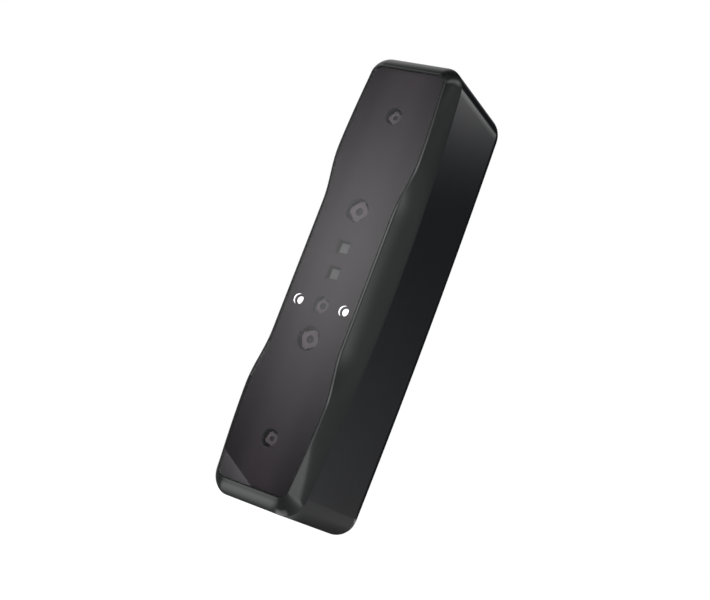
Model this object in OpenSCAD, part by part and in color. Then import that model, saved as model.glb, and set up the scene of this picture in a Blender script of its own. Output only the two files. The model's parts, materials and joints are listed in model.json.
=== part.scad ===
// Handheld 3-D scanner: a tall, slim body with a tinted sensor window on the front,
// a control panel with three buttons on the back, and a tripod thread and a data port underneath.
//
// X is the width, +Y runs from the window to the back, and +Z is up. The origin is at the centre
// of the underside. Inside the modules, depths are measured from the front rim and heights from
// the middle of the body, and seated() puts the whole design on its base.

/* [Body] */
// Widest part of the body, at the seam
body_w = 39; // [36:0.5:44]
// Depth from the front rim to the back
body_d = 63; // [61:0.5:68]
// Height of the body
body_h = 177; // [174:1:190]
// Wall thickness of both shells
wall = 2; // [1.6:0.1:2.2]
// Depth of the seam at mid height
seam_mid = 14.4; // [13:0.1:16]
// Depth of the seam at the top and bottom
seam_end = 6.1; // [5.5:0.1:7]
// How much narrower each side is at the back
side_taper = 2.5; // [1:0.1:3]
// Radius of the four long corners, seen from the front
corner_r = 7.3; // [6:0.1:8]
// Radius of the edges round the back
back_r = 11.5; // [9:0.5:12]
// How far the back bows out at mid height
back_bow = 2.2; // [0:0.1:3]

/* [Front rim] */
// Height of the front rim
rim_h = 167; // [164:0.5:170]
// Width of the rim at the waist
waist_w = 31.6; // [30:0.1:33]
// Width of the rim at its two lobes
lobe_w = 36.4; // [34:0.1:37]
// Width of the rim at its ends
end_w = 32.2; // [31:0.1:34]
// Height of the straight waist
waist_h = 52; // [46:1:58]
// Height from the middle to the widest point of a lobe
lobe_at = 48; // [44:1:54]
// Corner radius of the rim
rim_r = 4; // [3:0.1:6]
// Width of the lip round the window
lip = 0.8; // [0.6:0.1:1.2]
// Thickness of the window
window_t = 1.05; // [0.8:0.05:1.2]
// Thickness of the black film behind the window
film_t = 0.15; // [0.1:0.05:0.2]

/* [Sensors] */
// Distance between the two outer cameras
far_pitch = 128; // [126:0.5:130]
// Distance between the two inner cameras
near_pitch = 51; // [50:0.5:52]
// Height of the upper projector over the middle
upper_projector_z = 10.6; // [10.4:0.1:11]
// Height of the lower projector over the middle
lower_projector_z = 0.3; // [0:0.1:0.6]
// Height of the colour camera over the middle
color_z = -12.4; // [-12.6:0.1:-12.2]
// Distance of each white light from the colour camera
light_x = 10.1; // [10:0.1:10.5]
// Depth of the lens faces behind the rim
lens_depth = 2.75; // [2.6:0.05:3]

/* [Controls] */
// Height of the scan button over the middle
scan_z = 6; // [5:0.5:8]
// Distance from one button to the next
button_pitch = 15; // [14.5:0.5:15]
// Travel of a button
button_travel = 0.6; // [0.3:0.1:0.6]
// Radius of the scan button
scan_r = 5.5; // [5:0.1:5.6]
// Radius of the plus and minus buttons
side_button_r = 4.2; // [3.8:0.1:4.4]

/* [Underside] */
// Depth of the tripod thread's axis behind the rim
tripod_depth = 41.5; // [40:0.5:43]
// Radius of the tripod thread's bore, the minor radius of a 1/4 inch thread
tripod_r = 2.6; // [2.5:0.05:2.7]
// Length of the tripod thread's bore
tripod_bore = 9; // [7:0.5:9]
// Depth of the recess for the plug
port_recess = 5; // [4.5:0.1:5.2]

/* [Hidden] */
$fn = 40;
side_steps = 26;                    // spaces between the rungs of a straight side
corner_steps = 6;                   // spaces between the rungs of a corner
section_steps = 6;                  // rings between the rim and the seam
fillet_steps = 7;                   // rings round a back edge

half_h = body_h / 2;
plate_front = window_t + film_t + 0.05;  // front of the plate that carries the window
plate_t = 2;
plate_back = plate_front + plate_t;
seam_step = 0.8;                    // depth of the step that holds the seam gasket
gasket_w = 1;

// Depths of the layers inside, from the front to the back
light_board_d = [7.8, 9];
chassis_d = [9, 12];
holder_d = [12, 17];
camera_board_d = [17, 18.2];
main_board_d = [24, 25.6];
processor_d = [25.6, 27.1];
pad_d = [27.1, 27.6];
sink_base_d = [27.6, 30.1];
sink_top = 40;

// Depths of the control stack, from the back inwards
cap_face = body_d - 0.1;
panel_d = [body_d - 1.8, body_d - 0.6];
shelf_d = [body_d - 5.3, panel_d[0]];
flange_d = [panel_d[0] - 1, panel_d[0] - 0.1];
counterbore_floor = panel_d[0] - 1.8;
button_board_d = [body_d - 11.2, body_d - 9.6];
switch_top = button_board_d[1] + 2;
plunger_top = switch_top + button_travel + 0.1;
plunger_bottom = switch_top - 1;
panel_z = scan_z + 4;               // middle of the panel
panel_l = 62;
panel_w = 15;
indicator_z = scan_z + 27;
indicator_pitch = 2.2;
button_screw_z = [scan_z - 22.5, scan_z + 22];

clear = 0.15;                       // room round a screw or a nose
bite = 1;                           // how far a cut runs past the surface it opens
scan_counterbore = 1.1;             // room for a button's flange
flange_out = 0.8;
stem_r = 1.6;
stem_hole_r = 2;
mark_deep = 0.55;                   // how deep the marks are cut
dish_r = 40;                        // radius of the dish for the fingertip
dish_deep = 0.35;
mark_l = 3.6;                       // length of the strokes of the marks
mark_w = 0.8;
plunger_r = 1.2;
switch_size = 6;
indicator_slot = [13.4, 3.4];
indicator_r = 0.7;
led_size = 1.2;
button_board_size = [13, 58];

// Screws: shaft radius, head radius and head height
m2_r = 0.95;
m2_head_r = 1.8;
m2_head_h = 1.3;
// Places of the screws that hold the front shell: x, height and depth where the two posts meet
cover_posts = [[12.8, 74, 9], [12.8, -74, 9], [11.8, 5, 12]];
post_r = 2.4;
post_back = 22;                     // back end of the posts
rib_t = 1.6;                        // thickness of the web between a post and the side wall
chassis_screw_x = 9;
chassis_screw_z = 38;
standoff_x = 8;
standoff_z = 50;
standoff_r = 2.4;
screw_grip = 5;                     // how far a screw runs into its post

port_depth = main_board_d[1] + 1.65;
port_w = 13;
port_t = 7.4;
port_corner = 1.2;
port_wall = 1.4;
port_floor = -half_h + port_recess;
receptacle = [8.94, 3.26, 7.35];    // width, thickness and length
receptacle_wall = 0.3;
tongue = [6.7, 0.7, 4.8];
insert_r = 4.58;
insert_h = 11;
insert_flange_r = 6.6;

// Boards and the heat sink
chassis_size = [22, 142];
main_board_size = [25, 143];
main_board_z = -7.5;
light_board_size = [26, 8];
chip_size = 14;
chip_z = 5;
sink_size = [22, 68];
sink_z = 4;
fin_t = 1.3;
fin_pitch = 3.4;
sink_foot_r = 1.6;
sink_feet_z = [-27, 35];

// Cameras: height, lens face radius, barrel radius, window hole radius, holder width
far_upper = [far_pitch / 2, 2.3, 3.1, 3.4, 11];
near_upper = [near_pitch / 2, 3.4, 4.2, 4.7, 13.6];
near_lower = [-near_pitch / 2, 3.4, 4.2, 4.7, 13.6];
far_lower = [-far_pitch / 2, 2.3, 3.1, 3.4, 11];
color_camera = [color_z, 2.45, 2.9, 3.3, 10.6];
cameras = [far_upper, near_upper, near_lower, far_lower, color_camera];
projectors = [upper_projector_z, lower_projector_z];
projector_hole = 5.2;
projector_nose = 4.8;
projector_body = 8.6;
projector_glass = 3.8;
projector_back = 16;
barrel_back = 14.5;
barrel_nose = 2;                    // length of a barrel's nose
lens_seat = [0.7, 1.7];             // where a lens sits behind its barrel's face
emitter = 3;
light_r = 1.45;
light_hole_r = 2.1;
flex_t = 0.25;

// ---------------------------------------------------------------- frame and outlines

// Moves a piece from depths and middle heights onto the base
module seated() {
    translate([0, -body_d / 2, half_h]) children();
}

// Half width of the rim at a height: a straight waist, a lobe above and below, and narrower ends
function rim_half(z) =
    let (a = abs(z), w0 = waist_w / 2, w1 = lobe_w / 2, w2 = end_w / 2)
    a < waist_h / 2 ? w0
    : a < lobe_at ? w0 + (w1 - w0) * (1 - cos(180 * (a - waist_h / 2) / (lobe_at - waist_h / 2))) / 2
    : w1 - (w1 - w2) * pow(min(1, (a - lobe_at) / (rim_h / 2 - lobe_at)), 1.5);

// Depth of the seam, and of the back, at a height
function seam_at(z) = seam_mid - (seam_mid - seam_end) * pow(z / half_h, 2);
function back_at(z) = body_d - back_bow * pow(z / half_h, 2);

// An outline is a ladder of rungs [half width, height] from the bottom to the top.
// The corners have radius r, and half(z) gives the half width between them.
function corner_rungs(w, l, r, top) = [
    for (i = [0:corner_steps])
        let (a = 90 * (top ? i : corner_steps - i) / corner_steps)
        [w - r + r * cos(a), (top ? 1 : -1) * (l - r + r * sin(a))]
];
function side_heights(l, r) = [for (i = [1:side_steps - 1]) (l - r) * (2 * i / side_steps - 1)];
function box_rungs(w, l, r) = concat(
    corner_rungs(w, l, r, false),
    [for (z = side_heights(l, r)) [w, z]],
    corner_rungs(w, l, r, true));
function rim_rungs(inset) =
    let (l = rim_h / 2 - inset, r = max(rim_r - inset, 0.6), w = rim_half(l - r) - inset)
    concat(
        corner_rungs(w, l, r, false),
        [for (z = side_heights(l, r)) [rim_half(z) - inset, z]],
        corner_rungs(w, l, r, true));

// The outline of the seam, moved inwards by inset
function seam_rungs(inset) = box_rungs(body_w / 2 - inset, half_h - inset, corner_r - inset);

// Rungs as [half width, depth, height]: flat at one depth, or along the seam
function flat(rungs, d) = [for (p = rungs) [p[0], d, p[1]]];
function on_seam(rungs, extra = 0) = [for (p = rungs) [p[0], seam_at(p[1]) + extra, p[1]]];

// A smooth step from rungs a to rungs b, leaving a outwards and meeting b along the depth
function bowed(a, b, u, out, deep) = [
    for (i = [0:len(a) - 1])
        let (c = [a[i][0] + (b[i][0] - a[i][0]) * out,
                  a[i][1] + (b[i][1] - a[i][1]) * deep,
                  a[i][2] + (b[i][2] - a[i][2]) * out])
        (1 - u) * (1 - u) * a[i] + 2 * u * (1 - u) * c + u * u * b[i]
];

// A solid through ladders of rungs. Each ladder is mirrored into a ring. Open ends are closed
// rung by rung, and a loop joins its last ring to its first.
module loft(ladders, loop = false) {
    m = len(ladders[0]);
    n = 2 * m;
    rings = len(ladders);
    points = [
        for (ladder = ladders)
            each concat(ladder, [for (i = [m - 1:-1:0]) [-ladder[i][0], ladder[i][1], ladder[i][2]]])
    ];
    last = loop ? rings - 1 : rings - 2;
    sides = [
        for (j = [0:last], i = [0:n - 1])
            let (a = j * n + i, b = j * n + (i + 1) % n,
                 c = ((j + 1) % rings) * n + (i + 1) % n, d = ((j + 1) % rings) * n + i)
            each [[a, b, c], [a, c, d]]
    ];
    e = (rings - 1) * n;
    ends = loop ? [] : [
        for (k = [0:m - 2])
            each [[k + 1, k, n - 1 - k], [k + 1, n - 1 - k, n - 2 - k],
                  [e + k, e + k + 1, e + n - 1 - k], [e + n - 1 - k, e + k + 1, e + n - 2 - k]]
    ];
    polyhedron(points, concat(sides, ends));
}

// ---------------------------------------------------------------- small helpers

// A flat shape drawn as x and height, from depth d[0] to d[1]
module slab(d) {
    translate([0, d[1], 0]) rotate([90, 0, 0]) linear_extrude(height = d[1] - d[0]) children();
}
module outline_2d(rungs) {
    polygon(concat(rungs, [for (i = [len(rungs) - 1:-1:0]) [-rungs[i][0], rungs[i][1]]]));
}
// A round bar along the depth, at [x, height]
module bar(at, d, r) {
    translate([at[0], d[0], at[1]]) rotate([-90, 0, 0]) cylinder(h = d[1] - d[0], r = r);
}
// A block centred on [x, height], from depth d[0] to d[1]
module block(at, size, d) {
    translate([at[0] - size[0] / 2, d[0], at[1] - size[1] / 2]) cube([size[0], d[1] - d[0], size[1]]);
}
// A block with rounded corners, seen from the front
module soft_block(at, size, d, r) {
    block(at, [size[0] - 2 * r, size[1]], d);
    block(at, [size[0], size[1] - 2 * r], d);
    for (x = [-1, 1], z = [-1, 1])
        bar([at[0] + x * (size[0] / 2 - r), at[1] + z * (size[1] / 2 - r)], d, r);
}
// A slot with round ends, standing upright
module stadium(z, size, d) {
    block([0, z], [size[0], size[1] - size[0]], d);
    for (s = [-1, 1]) bar([0, z + s * (size[1] - size[0]) / 2], d, size[0] / 2);
}
module m2_screw(at, head, tip) {
    // the head is at depth head[0] to head[1], and the shaft runs on to the tip
    bar(at, [min(head[0], head[1]), max(head[0], head[1])], m2_head_r);
    bar(at, [min(head[1], tip), max(head[1], tip)], m2_r);
}
module both_sides() {
    children();
    mirror([1, 0, 0]) children();
}
// The four places of the chassis screws, and of the board's standoffs
module chassis_screw_places() {
    for (x = [-1, 1], z = [-1, 1]) translate([x * chassis_screw_x, 0, z * chassis_screw_z]) children();
}
module standoff_places() {
    for (x = [-1, 1], z = [-1, 1]) translate([x * standoff_x, 0, z * standoff_z]) children();
}

// ---------------------------------------------------------------- front

module sensor_openings(d, grow) {
    for (c = cameras) bar([0, c[0]], d, c[3] + grow);
    for (z = projectors) block([0, z], [projector_hole + 2 * grow, projector_hole + 2 * grow], d);
    for (x = [-1, 1]) bar([x * light_x, color_z], d, light_hole_r + grow);
}

module bezel_shell() {
    rim_outer = flat(rim_rungs(0), 0.35);
    seam = on_seam(seam_rungs(0));
    inner_front = flat(rim_rungs(wall + 0.3), plate_back);
    inner_seam = on_seam(seam_rungs(wall));
    loft(concat(
        [flat(rim_rungs(lip), plate_front),
         flat(rim_rungs(lip), 0.12),
         flat(rim_rungs(lip - 0.12), 0),
         flat(rim_rungs(0.3), 0),
         flat(rim_rungs(0.1), 0.1)],
        [for (i = [0:section_steps]) bowed(rim_outer, seam, i / section_steps, 0.8, 0.45)],
        [for (i = [section_steps:-1:0]) bowed(inner_front, inner_seam, i / section_steps, 0.8, 0.45)]));
}

module front_bezel() {
    color([0.13, 0.135, 0.135])
    seated() difference() {
        union() {
            bezel_shell();
            both_sides() for (p = cover_posts) bar([p[0], p[1]], [plate_back - 0.2, p[2]], post_r);
            chassis_screw_places() bar([0, 0], [plate_back - 0.2, chassis_d[0]], post_r);
        }
        sensor_openings([plate_front - bite, plate_back + bite], 2 * clear);
        both_sides() for (p = cover_posts) {
            bar([p[0], p[1]], [plate_front - 0.1, plate_front + m2_head_h + 0.1], m2_head_r + clear);
            bar([p[0], p[1]], [plate_front, p[2] + bite], m2_r + clear);
        }
        chassis_screw_places() bar([0, 0], [plate_back + 0.6, chassis_d[0] + bite], m2_r);
    }
}

module front_window() {
    color([0.2, 0.18, 0.2, 0.5])
    seated() slab([0.08, window_t + 0.05]) outline_2d(rim_rungs(lip + 0.08));
}

module window_mask() {
    color([0.05, 0.05, 0.055])
    seated() difference() {
        slab([window_t + 0.05, plate_front]) outline_2d(rim_rungs(lip + 0.3));
        sensor_openings([0, plate_back], 0);
    }
}

// ---------------------------------------------------------------- rear shell

module seam_gasket() {
    color([0.08, 0.08, 0.08])
    seated() loft([
        on_seam(seam_rungs(wall - gasket_w)), on_seam(seam_rungs(wall)),
        on_seam(seam_rungs(wall), seam_step), on_seam(seam_rungs(wall - gasket_w), seam_step)
    ], loop = true);
}

// The back edge: rungs at angle a round the fillet, from the side wall at 0 to the back at 90
function back_rungs(inset, a) =
    let (r = back_r - inset, k = r * (1 - cos(a)),
         w = body_w / 2 - side_taper - inset - k, l = half_h - inset - k,
         c = max((corner_r - inset) * (1 - 0.75 * (1 - cos(a))), 0.8))
    [for (p = box_rungs(w, l, c)) [p[0], back_at(p[1]) - inset - r * (1 - sin(a)), p[1]]];

module housing_shell() {
    loft(concat(
        [for (i = [fillet_steps:-1:0]) back_rungs(wall, 90 * i / fillet_steps)],
        [on_seam(seam_rungs(wall), seam_step),
         on_seam(seam_rungs(wall - gasket_w), seam_step),
         on_seam(seam_rungs(wall - gasket_w)),
         on_seam(seam_rungs(0))],
        [for (i = [0:fillet_steps]) back_rungs(0, 90 * i / fillet_steps)]));
}

module housing_posts() {
    for (p = cover_posts) {
        bar([p[0], p[1]], [p[2], post_back], post_r);
        // a web from the post to the side wall, behind the gasket
        web_d = seam_at(p[1]) + seam_step + 0.5;
        translate([p[0], web_d, p[1] - rib_t / 2])
            cube([body_w / 2 - rib_t - p[0], post_back - bite - web_d, rib_t]);
    }
}

module port_well(grow, z) {
    // a cavity or its wall, for the plug, open downwards
    translate([0, port_depth, z[0]])
        linear_extrude(height = z[1] - z[0]) {
            square([port_w + 2 * (grow - port_corner), port_t + 2 * grow], center = true);
            square([port_w + 2 * grow, port_t + 2 * (grow - port_corner)], center = true);
            for (s = [-1, 1], t = [-1, 1])
                translate([s * (port_w / 2 + grow - port_corner), t * (port_t / 2 + grow - port_corner)])
                    circle(r = port_corner);
        }
}

module rear_housing() {
    color([0.07, 0.072, 0.078])
    seated() difference() {
        union() {
            housing_shell();
            both_sides() housing_posts();
            stadium(panel_z, [panel_w + 3, panel_l + 3], [shelf_d[0], body_d - 1.2]);
            for (z = button_screw_z) bar([0, z], [button_board_d[1], shelf_d[0] + 0.1], post_r);
            port_well(port_wall, [-half_h + bite, port_floor + port_wall]);
        }
        // the pocket for the panel, and what passes through its floor
        stadium(panel_z, [panel_w, panel_l], [panel_d[0], body_d + bite]);
        for (i = [-1:1]) {
            z = scan_z + i * button_pitch;
            bar([0, z], [counterbore_floor, body_d], (i == 0 ? scan_r : side_button_r) + scan_counterbore);
            bar([0, z], [shelf_d[0] - bite, body_d], stem_hole_r);
        }
        block([0, indicator_z], indicator_slot, [shelf_d[0] - bite, body_d]);
        for (z = button_screw_z) bar([0, z], [button_board_d[1] - bite, shelf_d[1] - 1.6], m2_r);
        both_sides() for (p = cover_posts) bar([p[0], p[1]], [p[2] - bite, post_back - 2 * bite], m2_r);
        // the tripod insert and the plug's recess
        translate([0, tripod_depth, -half_h - bite]) cylinder(h = wall + 2 * bite, r = insert_r + 0.02);
        port_well(0, [-half_h - bite, port_floor]);
        translate([0, port_depth, port_floor - bite]) linear_extrude(height = 3 * bite) usb_outline(clear);
    }
}

// ---------------------------------------------------------------- controls on the back

module control_panel() {
    color([0.03, 0.03, 0.032])
    seated() difference() {
        stadium(panel_z, [panel_w - 0.2, panel_l - 0.2], panel_d);
        for (i = [-1:1])
            bar([0, scan_z + i * button_pitch], [panel_d[0] - bite, body_d],
                (i == 0 ? scan_r : side_button_r) + 0.2);
        for (i = [-2:2])
            bar([i * indicator_pitch, indicator_z], [panel_d[0] - bite, body_d], indicator_r + 0.05);
    }
}

// Marks cut into the button faces
module plus_mark() {
    square([mark_l, mark_w], center = true);
    square([mark_w, mark_l], center = true);
}
module minus_mark() {
    square([mark_l, mark_w], center = true);
}
module scan_mark() {
    // mirrored, because it is read from behind
    polygon([[2.1, 2], [2.1, -2], [-1, 0]]);
    translate([-2.2, 0]) square([mark_w, 4], center = true);
}

module button(z, r) {
    color([0.1, 0.1, 0.1])
    seated() difference() {
        union() {
            bar([0, z], [flange_d[1] - 0.1, cap_face], r);
            bar([0, z], flange_d, r + flange_out);
            bar([0, z], [plunger_top, flange_d[0] + 0.1], stem_r);
        }
        // a shallow dish for the fingertip, with the mark in its middle
        translate([0, cap_face + dish_r - dish_deep, z]) sphere(r = dish_r, $fn = 80);
        translate([0, 0, z]) slab([cap_face - mark_deep, body_d]) children();
    }
}
module plunger(z) {
    color([0.85, 0.85, 0.8])
    seated() bar([0, z], [plunger_bottom, plunger_top], plunger_r);
}
module tact_switch(z) {
    color([0.75, 0.76, 0.78])
    seated() difference() {
        soft_block([0, z], [switch_size, switch_size], [button_board_d[1], switch_top], 0.5);
        bar([0, z], [button_board_d[1] + 0.3, switch_top + bite], plunger_r + 0.2);
    }
}

module button_board() {
    color([0.05, 0.28, 0.16])
    seated() difference() {
        soft_block([0, scan_z + 3], button_board_size, button_board_d, 1.5);
        for (z = button_screw_z)
            bar([0, z], [button_board_d[0] - bite, button_board_d[1] + bite], m2_r + clear);
    }
}
module button_board_screws() {
    color([0.6, 0.6, 0.62])
    seated() for (z = button_screw_z)
        m2_screw([0, z], [button_board_d[0] - m2_head_h, button_board_d[0]], shelf_d[1] - 1.7);
}
module indicator_light_guide() {
    color([0.8, 0.95, 0.9, 0.7])
    seated() {
        block([0, indicator_z], indicator_slot - [0.4, 0.4], [shelf_d[0] + 0.4, panel_d[0] - 0.05]);
        for (i = [-2:2])
            bar([i * indicator_pitch, indicator_z], [panel_d[0] - 0.1, panel_d[1] - 0.05], indicator_r);
    }
}
module indicator_leds() {
    color([0.95, 0.95, 0.85])
    seated() for (i = [-2:2])
        block([i * indicator_pitch, indicator_z], [led_size, led_size],
            [button_board_d[1], button_board_d[1] + 0.8]);
}

// ---------------------------------------------------------------- underside

module usb_outline(grow) {
    // x and depth of the receptacle's shell, with round ends
    w = receptacle[0] + 2 * grow;
    t = receptacle[1] + 2 * grow;
    square([w - t, t], center = true);
    for (s = [-1, 1]) translate([s * (w - t) / 2, 0]) circle(r = t / 2);
}
module usb_receptacle() {
    color([0.78, 0.78, 0.8])
    seated() translate([0, port_depth, port_floor]) difference() {
        linear_extrude(height = receptacle[2]) usb_outline(0);
        translate([0, 0, -bite]) linear_extrude(height = receptacle[2]) usb_outline(-receptacle_wall);
    }
}
module usb_tongue() {
    color([0.08, 0.08, 0.08])
    seated() translate([0, port_depth, port_floor]) {
        translate([-tongue[0] / 2, -tongue[1] / 2, 0.6]) cube(tongue);
        translate([0, 0, 5.2]) linear_extrude(height = 1.1) usb_outline(-receptacle_wall - 0.05);
    }
}
module tripod_insert() {
    color([0.72, 0.58, 0.3])
    seated() translate([0, tripod_depth, -half_h]) difference() {
        union() {
            translate([0, 0, 0.2]) cylinder(h = insert_h, r = insert_r);
            translate([0, 0, wall + 0.02]) cylinder(h = 1.4, r = insert_flange_r);
        }
        translate([0, 0, -bite]) cylinder(h = tripod_bore + bite + 0.2, r = tripod_r);
    }
}

// ---------------------------------------------------------------- chassis and boards

module camera_chassis() {
    color([0.62, 0.63, 0.65])
    seated() difference() {
        union() {
            soft_block([0, 0], chassis_size, chassis_d, 2);
            standoff_places() bar([0, 0], [chassis_d[1] - 0.5, main_board_d[0]], standoff_r);
        }
        for (c = cameras) bar([0, c[0]], [chassis_d[0] - bite, chassis_d[1] + bite], c[2] + 2 * clear);
        for (z = projectors) block([0, z], [9, 9], [chassis_d[0] - bite, chassis_d[1] + bite]);
        both_sides() bar([cover_posts[2][0], cover_posts[2][1]],
            [chassis_d[0] - bite, chassis_d[1] + bite], post_r + 0.4);
        standoff_places() bar([0, 0], [main_board_d[0] - 6, main_board_d[0] + bite], m2_r);
        chassis_screw_places() bar([0, 0], [chassis_d[0] - bite, chassis_d[1] + bite], m2_r + clear);
    }
}
module chassis_screws() {
    color([0.6, 0.6, 0.62])
    seated() chassis_screw_places() m2_screw([0, 0], [chassis_d[1] + m2_head_h, chassis_d[1]], plate_back + 1);
}
module cover_screws() {
    color([0.3, 0.3, 0.32])
    seated() both_sides() for (p = cover_posts)
        m2_screw([p[0], p[1]], [plate_front + 0.05, plate_front + m2_head_h], p[2] + screw_grip);
}

module main_board() {
    color([0.05, 0.28, 0.16])
    seated() difference() {
        soft_block([0, main_board_z], main_board_size, main_board_d, 1.5);
        standoff_places() bar([0, 0], [main_board_d[0] - bite, main_board_d[1] + bite], m2_r + clear);
    }
}
module board_screws() {
    color([0.6, 0.6, 0.62])
    seated() standoff_places()
        m2_screw([0, 0], [main_board_d[1] + m2_head_h, main_board_d[1]], main_board_d[0] - screw_grip);
}
module processor() {
    color([0.1, 0.1, 0.11])
    seated() soft_block([0, chip_z], [chip_size, chip_size], processor_d, 0.4);
}
module board_chips() {
    color([0.09, 0.09, 0.1])
    seated() {
        for (z = [-38, 42]) block([0, z], [9, 6], [main_board_d[1], main_board_d[1] + 1.2]);
        for (x = [-7, 7]) block([x, -66], [5, 5], [main_board_d[1], main_board_d[1] + 1]);
        for (z = [-44, 8, 44]) block([0, z], [10, 4], [main_board_d[0] - 1.6, main_board_d[0]]);
    }
}
module thermal_pad() {
    color([0.55, 0.6, 0.75])
    seated() block([0, chip_z], [chip_size, chip_size], pad_d);
}
module heat_sink() {
    color([0.7, 0.71, 0.73])
    seated() {
        block([0, sink_z], sink_size, sink_base_d);
        for (i = [-3:3])
            block([i * fin_pitch, sink_z], [fin_t, sink_size[1]], [sink_base_d[1] - 0.1, sink_top]);
        for (x = [-9, 9], z = sink_feet_z) bar([x, z], [main_board_d[1], sink_base_d[0] + 0.1], sink_foot_r);
    }
}

// ---------------------------------------------------------------- cameras, projectors and lights

// A lens barrel: a narrow nose with four slots for the focusing key, and a wider threaded body
module barrel(c) {
    face = c[1];
    color([0.35, 0.33, 0.36])
    seated() difference() {
        union() {
            bar([0, c[0]], [lens_depth, lens_depth + barrel_nose], face);
            bar([0, c[0]], [lens_depth + barrel_nose - 0.4, barrel_back], c[2]);
        }
        bar([0, c[0]], [0, barrel_back + bite], face * 0.38);
        bar([0, c[0]], lens_seat + [lens_depth, lens_depth], face * 0.62);
        for (s = [-1, 1]) {
            block([s * face, c[0]], [face * 0.5, face * 0.42], [0, lens_depth + 0.5]);
            block([0, c[0] + s * face], [face * 0.42, face * 0.5], [0, lens_depth + 0.5]);
        }
    }
}
module lens(c) {
    color([0.1, 0.12, 0.2, 0.6])
    seated() bar([0, c[0]], lens_seat + [lens_depth + 0.05, lens_depth - 0.05], c[1] * 0.6);
}
module holder(c) {
    color([0.1, 0.1, 0.1])
    seated() difference() {
        soft_block([0, c[0]], [c[4], c[4]], holder_d, 0.8);
        bar([0, c[0]], [holder_d[0] - bite, holder_d[1] + bite], c[2] + 0.05);
        block([0, c[0]], [c[4] - 3, c[4] - 3], [holder_d[1] - 2, holder_d[1] + bite]);
    }
}
module camera_board(c) {
    color([0.05, 0.28, 0.16])
    seated() {
        block([0, c[0]], [c[4], c[4]], camera_board_d);
        block([0, c[0]], [5, 4.4], [camera_board_d[0] - 0.9, camera_board_d[0] + 0.1]);
    }
}
module projector(z) {
    color([0.12, 0.12, 0.13])
    seated() difference() {
        union() {
            block([0, z], [projector_nose, projector_nose], [lens_depth, lens_depth + barrel_nose]);
            block([0, z], [projector_body, projector_body], [lens_depth + barrel_nose - 0.4, projector_back]);
        }
        block([0, z], [projector_glass, projector_glass], [0, lens_depth + 1]);
    }
}
module projector_window(z) {
    color([0.55, 0.58, 0.58])
    seated() block([0, z], [projector_glass - 0.04, projector_glass - 0.04],
        [lens_depth + 0.1, lens_depth + 0.98]);
}
module light_board() {
    color([0.05, 0.28, 0.16])
    seated() difference() {
        soft_block([0, color_z], light_board_size, light_board_d, 1);
        bar([0, color_z], [light_board_d[0] - bite, light_board_d[1] + bite], color_camera[2] + 0.4);
    }
}
// A white light: the emitter on its board and the clear guide that carries it to the window
module white_light(side) {
    color([1, 1, 0.97])
    seated() {
        block([side * light_x, color_z], [emitter, emitter], [light_board_d[0] - 0.9, light_board_d[0]]);
        bar([side * light_x, color_z], [lens_depth, light_board_d[0] - 0.8], light_r);
    }
}

// ---------------------------------------------------------------- flexible cables

module camera_flex_cables() {
    color([0.75, 0.5, 0.15])
    seated() for (c = cameras) {
        // the outer cameras' cables run towards the middle, and the others away from it
        way = (abs(c[0]) > 40 ? -sign(c[0]) : c[0] == color_z ? 1 : sign(c[0]));
        z = c[0];
        reach = c[4] / 2 + 2.2;
        block([0, z + way * reach / 2], [4, reach], [camera_board_d[1], camera_board_d[1] + flex_t]);
        block([0, z + way * (reach - flex_t / 2)], [4, flex_t], [camera_board_d[1], main_board_d[0]]);
    }
}
module button_flex_cable() {
    // down from the button board, across behind the heat sink's end, and onto the main board
    color([0.75, 0.5, 0.15])
    seated() {
        x = 3.9;
        turn = -46;
        block([x, (turn - 14) / 2], [4, -14 - turn], [button_board_d[0] - flex_t, button_board_d[0]]);
        block([x, turn + flex_t / 2], [4, flex_t], [main_board_d[1], button_board_d[0]]);
        block([x, turn - 3], [4, 6 + flex_t], [main_board_d[1], main_board_d[1] + flex_t]);
    }
}

// ---------------------------------------------------------------- the nodes

front_bezel();
front_window();
window_mask();
seam_gasket();
rear_housing();
control_panel();
button(scan_z, scan_r) scan_mark();  // scan_button
button(scan_z + button_pitch, side_button_r) plus_mark();  // plus_button
button(scan_z - button_pitch, side_button_r) minus_mark();  // minus_button
plunger(scan_z);  // scan_plunger
plunger(scan_z + button_pitch);  // plus_plunger
plunger(scan_z - button_pitch);  // minus_plunger
tact_switch(scan_z);  // scan_switch
tact_switch(scan_z + button_pitch);  // plus_switch
tact_switch(scan_z - button_pitch);  // minus_switch
button_board();
button_board_screws();
indicator_light_guide();
indicator_leds();
tripod_insert();
usb_receptacle();
usb_tongue();
camera_chassis();
main_board();
processor();
board_chips();
thermal_pad();
heat_sink();
cover_screws();
chassis_screws();
board_screws();
barrel(far_upper);  // far_upper_barrel
lens(far_upper);  // far_upper_lens
holder(far_upper);  // far_upper_holder
camera_board(far_upper);  // far_upper_board
barrel(near_upper);  // near_upper_barrel
lens(near_upper);  // near_upper_lens
holder(near_upper);  // near_upper_holder
camera_board(near_upper);  // near_upper_board
barrel(near_lower);  // near_lower_barrel
lens(near_lower);  // near_lower_lens
holder(near_lower);  // near_lower_holder
camera_board(near_lower);  // near_lower_board
barrel(far_lower);  // far_lower_barrel
lens(far_lower);  // far_lower_lens
holder(far_lower);  // far_lower_holder
camera_board(far_lower);  // far_lower_board
barrel(color_camera);  // color_barrel
lens(color_camera);  // color_lens
holder(color_camera);  // color_holder
camera_board(color_camera);  // color_board
projector(upper_projector_z);  // upper_projector
projector_window(upper_projector_z);  // upper_projector_window
projector(lower_projector_z);  // lower_projector
projector_window(lower_projector_z);  // lower_projector_window
light_board();
white_light(-1);  // left_light
white_light(1);  // right_light
camera_flex_cables();
button_flex_cable();
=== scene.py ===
# The handheld scanner's looks: smooth shells, tinted window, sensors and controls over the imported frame.
import bmesh
import bpy
import json
import math
from mathutils import Matrix, Vector


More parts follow.
